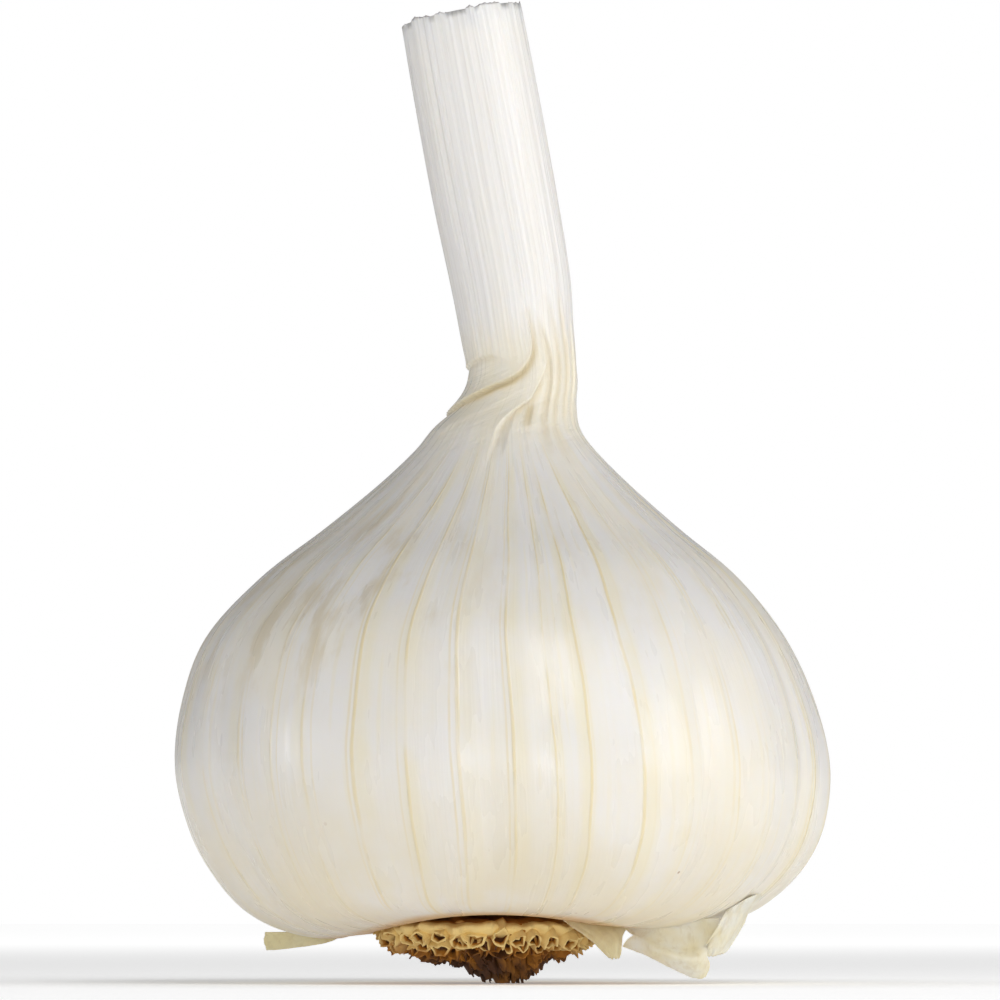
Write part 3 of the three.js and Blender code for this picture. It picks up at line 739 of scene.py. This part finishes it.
def makeRoots():
    draws = random.Random(roots["seed"])
    plate = makePlate()
    socket = makeSocket()
    fibre = makeFibre()
    made = [plate]
    middle = Vector((roots["centre"], 0, 0))
    for row, (share, count, endHeight) in enumerate(roots["rows"]):
        for i in range(count):
            angle = (i + 0.5 * (row % 2) + draws.uniform(-0.22, 0.22)) / count * 2 * math.pi
            outward = Vector((math.cos(angle), math.sin(angle), 0))
            radius = roots["radius"] * (share + draws.uniform(-0.03, 0.03))
            top = float(plateHeight(share)) + 0.5
            start = middle + outward * (radius - 0.7) + Vector((0, 0, top))
            end = middle + outward * (radius + 0.75 * share)
            end = end + Vector((0, 0, endHeight + draws.uniform(-0.35, 0.35)))
            tone = draws.uniform(0.8, 1.15) if row < 2 else draws.uniform(0.3, 0.9)
            made.append(placeRoot(socket, start, end, draws.uniform(1.2, 1.85), draws, tone))
    for i in range(roots["tuftCount"]):
        golden = math.radians(137.5 * i)
        spread = 4.2 * math.sqrt((i + 0.3) / roots["tuftCount"])
        outward = Vector((math.cos(golden), 1.1 * math.sin(golden), 0))
        start = Vector((roots["tuftX"] - 0.6, 0, 2.8)) + outward * spread * 1.05
        taper = max(0.0, spread - 1.6)
        end = Vector((roots["tuftX"], 0, -0.55 + 0.62 * taper + draws.uniform(0, 0.3)))
        end = end + outward * spread * 0.85
        width = draws.uniform(0.9, 1.4)
        tone = draws.uniform(0.05, 0.95)
        made.append(placeRoot(socket, start, end, width, draws, tone, 0.08))
    for i in range(roots["fibres"]):
        angle = draws.uniform(0, 2 * math.pi)
        share = math.sqrt(draws.uniform(0.02, 0.95))
        outward = Vector((math.cos(angle), math.sin(angle), 0))
        foot = middle + outward * roots["radius"] * share
        foot.z = float(plateHeight(share)) + 0.2
        length = draws.uniform(0.9, 2.2) * (1.1 - 0.5 * share)
        lean = outward * draws.uniform(-0.2, 0.5)
        lean = lean + Vector((draws.uniform(-0.5, 0.5), draws.uniform(-0.5, 0.5), -1))
        end = foot + lean.normalized() * length
        end.z = max(end.z, -0.4)
        width = draws.uniform(0.25, 0.5)
        tone = draws.uniform(0.3, 1.6)
        made.append(placeRoot(fibre, foot, end, width, draws, tone, 0.06))
    bpy.data.objects.remove(socket)
    bpy.data.objects.remove(fibre)
    deselectAll()
    for item in made:
        item.select_set(True)
    bpy.context.view_layer.objects.active = plate
    bpy.ops.object.join()
    for vertex in plate.data.vertices:
        vertex.co.z = max(vertex.co.z, 0.0)  # trimmed level where the bulb stands
    return plate


def makeRootMaterial():
    material, tree, shader = startMaterial("dryRoots")
    objectVector, place = objectPlace(tree)
    tone = attributeOf(tree, "tone")
    grain = noiseAt(tree, objectVector, 900, 4, 0.6)
    patches = noiseAt(tree, objectVector, 330, 3, 0.5)
    height = calc(tree, "MULTIPLY", place[2], 1000)
    lit = calc(tree, "MULTIPLY", tone, remap(tree, height, 1.2, 4.6, 0.12, 1.12))
    mixed = calc(tree, "ADD", lit, calc(tree, "MULTIPLY", calc(tree, "SUBTRACT", patches, 0.5), 0.95))
    colour = blendColours(tree, remap(tree, mixed, 0.05, 0.4), (0.08, 0.025, 0.003), (0.50, 0.205, 0.02))
    colour = blendColours(tree, remap(tree, mixed, 0.38, 0.86), colour, (0.97, 0.76, 0.32))
    colour = blendColours(tree, remap(tree, grain, 0.5, 0.75, 0, 0.3), colour, (0.16, 0.07, 0.02))
    plug(tree, colour, shader.inputs["Base Color"])
    plug(tree, remap(tree, patches, 0.3, 0.7, 0.55, 0.85), shader.inputs["Roughness"])
    normal = bumpOn(tree, grain, 0.0002, 0.8)
    plug(tree, normal, shader.inputs["Normal"])
    return material


deselectAll()
rootCrown = makeRoots()
finishPiece(rootCrown, "rootCrown", "root_plate", makeRootMaterial(), 50)
print("roots made")


# loose scraps of skin

# nets of points in mm, each row from left to right, and how ragged each edge is:
# first row, last row, left and right, in shares of the sheet
sheets = {
    "looseSkinRight": {
        "node": "loose_skin_right",
        "parts": [
            {"net": [  # outer sheet that peels off the bulb's skin
                [(20.4, -11.0, 5.9), (21.9, -10.9, 6.8), (23.5, -9.1, 7.5), (25.2, -5.2, 8.1)],
                [(19.9, -11.3, 4.9), (21.1, -11.0, 5.6), (22.2, -9.8, 6.0), (22.9, -7.6, 6.2)],
                [(19.3, -11.0, 4.0), (20.4, -10.8, 4.4), (21.4, -9.9, 4.6), (22.1, -8.0, 4.6)],
                [(18.8, -10.6, 3.2), (19.6, -10.6, 3.3), (20.5, -9.9, 3.2), (21.2, -8.4, 3.1)],
                [(18.5, -10.2, 2.5), (19.1, -10.2, 2.4), (19.9, -9.6, 2.2), (20.6, -8.6, 2.25)],
                [(18.7, -9.8, 1.8), (18.95, -9.7, 1.75), (19.2, -9.4, 1.8), (19.5, -8.9, 1.9)]],
             "ragged": (0.0, 0.05, 0.02, 0.06), "wave": 0.1},
            {"net": [  # sunken sheet under the bulb's edge, folded back under as a pointed lobe
                [(11.3, -9.0, 4.4), (13.8, -9.8, 4.9), (15.8, -10.4, 5.0), (18.0, -10.8, 5.2),
                 (20.0, -10.9, 5.3)],
                [(11.6, -9.3, 4.1), (14.2, -9.6, 4.2), (16.4, -9.7, 4.1), (18.2, -10.0, 4.1),
                 (19.6, -10.4, 4.2)],
                [(11.9, -9.7, 3.9), (14.2, -10.2, 3.3), (16.3, -10.1, 2.7), (17.9, -10.2, 2.7),
                 (19.0, -10.2, 3.0)],
                [(12.1, -10.0, 3.75), (14.0, -11.0, 2.6), (16.1, -11.3, 1.8), (17.6, -11.2, 1.6),
                 (18.8, -10.4, 1.9)],
                [(11.5, -9.9, 3.3), (13.9, -10.6, 2.1), (16.2, -10.7, 1.2), (17.9, -10.5, 0.9),
                 (19.0, -9.8, 1.3)],
                [(11.1, -9.4, 2.7), (13.7, -9.8, 1.65), (16.2, -9.7, 0.4), (18.3, -9.3, -0.35),
                 (18.95, -9.0, 0.5)]],
             "ragged": (0.0, 0.04, 0.0, 0.02), "wave": 0.08},
        ],
    },
    "looseSkinLeft": {
        "node": "loose_skin_left",
        "parts": [
            {"net": [
                [(-12.2, 1.4, 4.7), (-14.4, 0.9, 4.4), (-16.5, 0.3, 4.2), (-18.8, -0.5, 4.0),
                 (-21.6, -1.2, 3.95)],
                [(-12.4, 1.7, 4.5), (-14.4, 1.3, 4.1), (-16.2, 0.9, 3.6), (-18.8, 0.3, 3.25),
                 (-21.7, -0.3, 3.1)],
                [(-12.6, 2.0, 4.3), (-14.4, 1.6, 3.75), (-15.7, 1.4, 3.05), (-18.8, 0.9, 2.55),
                 (-21.5, 0.4, 2.3)]],
             "ragged": (0.0, 0.05, 0.0, 0.01), "wave": 0.05},
        ],
    },
    "looseSkinTag": {
        "node": "loose_skin_tag",
        "parts": [
            {"net": [
                [(5.6, -8.9, 5.1), (7.8, -9.0, 4.9), (10.0, -8.6, 4.7), (12.2, -8.2, 4.6)],
                [(7.3, -9.6, 3.9), (8.8, -9.8, 3.8), (10.3, -9.5, 3.8), (11.3, -9.0, 3.9)],
                [(8.5, -10.0, 3.0), (9.5, -10.2, 2.7), (10.5, -10.1, 2.7), (11.1, -9.7, 2.9)],
                [(9.9, -10.2, 1.7), (10.3, -10.3, 1.4), (10.6, -10.3, 1.4), (10.95, -10.2, 1.8)]],
             "ragged": (0.0, 0.1, 0.05, 0.05), "wave": 0.05},
        ],
    },
}
scraps = {"across": 48, "along": 40, "thickness": 0.14}


def makeSheet(part, number):
    net = part["net"]
    ragTop, ragBottom, ragLeft, ragRight = part["ragged"]
    bpy.ops.mesh.primitive_grid_add(x_subdivisions=scraps["across"], y_subdivisions=scraps["along"], size=2)
    piece = bpy.context.object
    mesh = piece.data
    points = np.empty(len(mesh.vertices) * 3)
    mesh.vertices.foreach_get("co", points)
    points = points.reshape(-1, 3)
    u = (points[:, 0] + 1) / 2
    v = (1 - points[:, 1]) / 2
    phase = 3.1 * number

    def tear(value):  # uneven line from 0 to 1
        wave = (np.sin(9 * value + phase) + 0.7 * np.sin(23 * value + 2 * phase)
                + 0.45 * np.sin(51 * value + phase) + 0.3 * np.sin(97 * value + 3 * phase))
        return 0.5 + wave / 4.9

    newU = ragLeft * tear(v) * (1 - u) + u * (1 - ragRight * tear(v + 0.4))
    newV = ragTop * tear(u) * (1 - v) + v * (1 - ragBottom * tear(u + 0.7))
    moved = np.zeros_like(points)
    for axis in range(3):
        lines = [throughRows([(value[axis],) for value in row], newU * (len(row) - 1), 0) for row in net]
        table = np.stack(lines)
        start = np.clip(np.floor(newV * (len(net) - 1)).astype(int), 0, len(net) - 2)
        share = newV * (len(net) - 1) - start
        padded = np.concatenate([[2 * table[0] - table[1]], table, [2 * table[-1] - table[-2]]])
        index = np.arange(len(points))
        before, first, second, after = (padded[start + i, index] for i in range(4))
        square, cube = share ** 2, share ** 3
        moved[:, axis] = (first * (2 * cube - 3 * square + 1)
                          + (second - before) / 2 * (cube - 2 * square + share)
                          + second * (3 * square - 2 * cube) + (after - first) / 2 * (cube - square))
    waves = np.sin(17 * u + 5 * v + phase) * 0.6 + np.sin(29 * u - 11 * v + 2 * phase) * 0.4
    moved[:, 1] += part["wave"] * waves
    moved[:, 2] += standHeight
    moved[:, 2] = np.maximum(moved[:, 2], 0.12)
    mesh.vertices.foreach_set("co", (moved * mm).ravel())
    mesh.update()
    solid = piece.modifiers.new("Solidify", "SOLIDIFY")
    solid.thickness = scraps["thickness"] * mm
    solid.offset = 0
    bpy.ops.object.modifier_apply(modifier=solid.name)
    return piece


def makeScrapMaterial():
    material, tree, shader = startMaterial("looseSkin")
    objectVector, place = objectPlace(tree)
    stretched = tree.nodes.new("ShaderNodeMapping")
    stretched.inputs["Scale"].default_value = (1.0, 1.0, 0.35)
    stretched.inputs["Rotation"].default_value = (0, math.radians(35), 0)
    plug(tree, objectVector, stretched.inputs["Vector"])
    fibres = noiseAt(tree, stretched.outputs[0], 1500, 3, 0.6)
    patches = noiseAt(tree, objectVector, 260, 3, 0.5)
    colour = blendColours(tree, remap(tree, patches, 0.35, 0.65), (0.84, 0.80, 0.68), (0.80, 0.71, 0.49))
    small = remap(tree, place[0], 0.0125, 0.0105, 0, 0.75)  # the strip and the tag are yellower
    colour = blendColours(tree, small, colour, (0.81, 0.71, 0.40))
    colour = blendColours(tree, remap(tree, fibres, 0.45, 0.75, 0, 0.4), colour, (0.56, 0.44, 0.24))
    plug(tree, colour, shader.inputs["Base Color"])
    plug(tree, remap(tree, patches, 0.3, 0.7, 0.38, 0.55), shader.inputs["Roughness"])
    shader.inputs["Subsurface Weight"].default_value = 0.5
    shader.inputs["Subsurface Radius"].default_value = (1.0, 0.85, 0.6)
    shader.inputs["Subsurface Scale"].default_value = 0.001
    plug(tree, bumpOn(tree, fibres, 0.00008, 0.6), shader.inputs["Normal"])
    return material


scrapMaterial = makeScrapMaterial()
for name, values in sheets.items():
    deselectAll()
    parts = [makeSheet(part, number + 1) for number, part in enumerate(values["parts"])]
    deselectAll()
    for part in parts:
        part.select_set(True)
    bpy.context.view_layer.objects.active = parts[0]
    if len(parts) > 1:
        bpy.ops.object.join()
    finishPiece(parts[0], name, values["node"], scrapMaterial, 60)
print("loose skins made")


# floor, light and camera

studio = {
    "scale": 10.85,  # pixels of the photograph to a mm
    "distance": 700.0,
    "eyeHeight": 6.7,
    "aimX": 0.02,
    "aimHeight": 44.45,
    "glowLow": 0.34,
    "glowHigh": 0.06,
    "floorGlows": (0.24, 0.51, 0.86),  # under the bulb, near it and far away: the dimmer glow under and near the bulb is a painted contact shadow
}

lamps = {  # place in metres, power in watts, size in metres and, where it isn't square, height
    "key": ((0.62, -0.27, 0.17), 1.65, 0.45),
    "front": ((0.25, -0.58, 0.6), 2.55, 0.48),
    "low": ((0.05, -0.6, 0.032), 0.45, 0.3, 0.06),
    "side": ((-0.6, -0.16, 0.1), 0.45, 0.12),
}


def makeFloor():
    bpy.ops.mesh.primitive_plane_add(size=6)
    floor = bpy.context.object
    floor.name = "floor"
    material, tree, shader = startMaterial("paleFloor")
    objectVector, _ = objectPlace(tree)
    tint = remap(tree, noiseAt(tree, objectVector, 3), 0.3, 0.7, 0.0, 1.0)
    colour = blendColours(tree, tint, (0.86, 0.86, 0.86), (0.88, 0.88, 0.88))
    plug(tree, colour, shader.inputs["Base Color"])
    shader.inputs["Roughness"].default_value = 1.0
    shader.inputs["Specular IOR Level"].default_value = 0.0
    shader.inputs["Emission Color"].default_value = (1, 1, 1, 1)
    length = tree.nodes.new("ShaderNodeVectorMath")
    length.operation = "LENGTH"
    plug(tree, objectVector, length.inputs[0])
    under, near, far = studio["floorGlows"]
    # the floor glows and so lights the bulb from below; it glows less under and near the bulb, as a painted
    # contact shadow
    glow = calc(tree, "ADD", remap(tree, length.outputs["Value"], 0.012, 0.065, under, near),
                remap(tree, length.outputs["Value"], 0.15, 0.9, 0, far - near))
    plug(tree, glow, shader.inputs["Emission Strength"])
    floor.data.materials.append(material)


def makeLight(name, place, power, size, sizeY=None):
    data = bpy.data.lights.new(name, "AREA")
    data.energy = power
    data.size = size
    if sizeY:
        data.shape = "RECTANGLE"
        data.size_y = sizeY
    lamp = bpy.data.objects.new(name, data)
    lamp.location = place
    lamp.rotation_euler = (Vector((0, 0, 0.035)) - Vector(place)).to_track_quat("-Z", "Y").to_euler()
    bpy.context.scene.collection.objects.link(lamp)


def makeCamera():
    data = bpy.data.cameras.new("camera")
    data.sensor_width = 36
    distance = math.hypot(studio["distance"], studio["aimHeight"] - studio["eyeHeight"])
    data.lens = data.sensor_width * distance / (1000 / studio["scale"])
    data.clip_start = 0.01
    data.clip_end = 20
    camera = bpy.data.objects.new("camera", data)
    camera.location = (studio["aimX"] * mm, -studio["distance"] * mm, studio["eyeHeight"] * mm)
    aim = Vector((studio["aimX"] * mm, 0, studio["aimHeight"] * mm))
    camera.rotation_euler = (aim - camera.location).to_track_quat("-Z", "Y").to_euler()
    bpy.context.scene.collection.objects.link(camera)
    bpy.context.scene.camera = camera


def makeWorld():
    world = bpy.data.worlds.new("studio")
    world.use_nodes = True
    tree = world.node_tree
    tree.nodes.clear()
    output = tree.nodes.new("ShaderNodeOutputWorld")
    seen = tree.nodes.new("ShaderNodeBackground")  # the white that the camera sees
    seen.inputs["Color"].default_value = (1, 1, 1, 1)
    glow = tree.nodes.new("ShaderNodeBackground")  # the dimmer white that lights the bulb
    glow.inputs["Color"].default_value = (1, 1, 1, 1)
    direction = tree.nodes.new("ShaderNodeTexCoord")
    parts = tree.nodes.new("ShaderNodeSeparateXYZ")
    tree.links.new(direction.outputs["Generated"], parts.inputs[0])
    strength = remap(tree, parts.outputs[2], 0.0, 0.9, studio["glowLow"], studio["glowHigh"])
    plug(tree, strength, glow.inputs["Strength"])
    rays = tree.nodes.new("ShaderNodeLightPath")
    mix = tree.nodes.new("ShaderNodeMixShader")
    tree.links.new(rays.outputs["Is Camera Ray"], mix.inputs[0])
    tree.links.new(glow.outputs[0], mix.inputs[1])
    tree.links.new(seen.outputs[0], mix.inputs[2])
    tree.links.new(mix.outputs[0], output.inputs[0])
    bpy.context.scene.world = world


makeFloor()
makeWorld()
for name, values in lamps.items():
    makeLight(name, *values)
makeCamera()
bpy.context.scene.view_settings.view_transform = "Standard"
